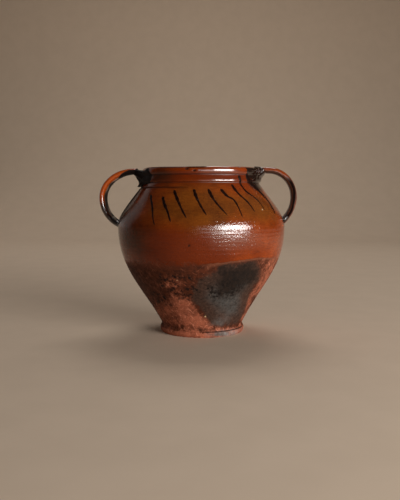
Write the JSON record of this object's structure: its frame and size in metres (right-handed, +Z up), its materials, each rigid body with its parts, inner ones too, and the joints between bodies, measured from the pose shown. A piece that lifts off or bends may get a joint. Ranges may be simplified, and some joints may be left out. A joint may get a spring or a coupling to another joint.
{
  "type": "hydria jar",
  "caption": "Wide-mouthed storage jar of glazed redware with a flanged foot, a swelling belly, a moulded collar and upright strap handles; trailed dark slip strokes on the shoulder.",
  "frame": {"origin": "on the jar's axis at the underside of the foot", "axes": "+Z up along the jar's axis; +X towards the right handle as seen from the front, which faces -Y"},
  "size_m": [0.2789, 0.2344, 0.2321],
  "materials": {
    "glazed_redware": "clear amber lead glaze over red clay, fired orange brown with smoky patches",
    "dark_glaze": "glaze run thick and dark over worked clay",
    "bare_redware": "bare fired red clay with dark fire clouding and turning scratches",
    "inner_redware": "bare fired red clay, smeared by finger",
    "dark_slip": "iron-dark slip under the glaze, slightly raised"
  },
  "bodies": {
    "root": {"foot_disc": "bare_redware", "lower_body": "bare_redware", "shoulder": "glazed_redware", "collar": "glazed_redware", "foot_seam_coil": "inner_redware", "belly_seam_coil": "inner_redware", "neck_seam_coil": "glazed_redware", "left_handle": "glazed_redware", "left_upper_wad": "dark_glaze", "left_lower_wad": "dark_glaze", "right_handle": "glazed_redware", "right_upper_wad": "dark_glaze", "right_lower_wad": "dark_glaze", "slip_strokes": "dark_slip"}
  },
  "joints": []
}
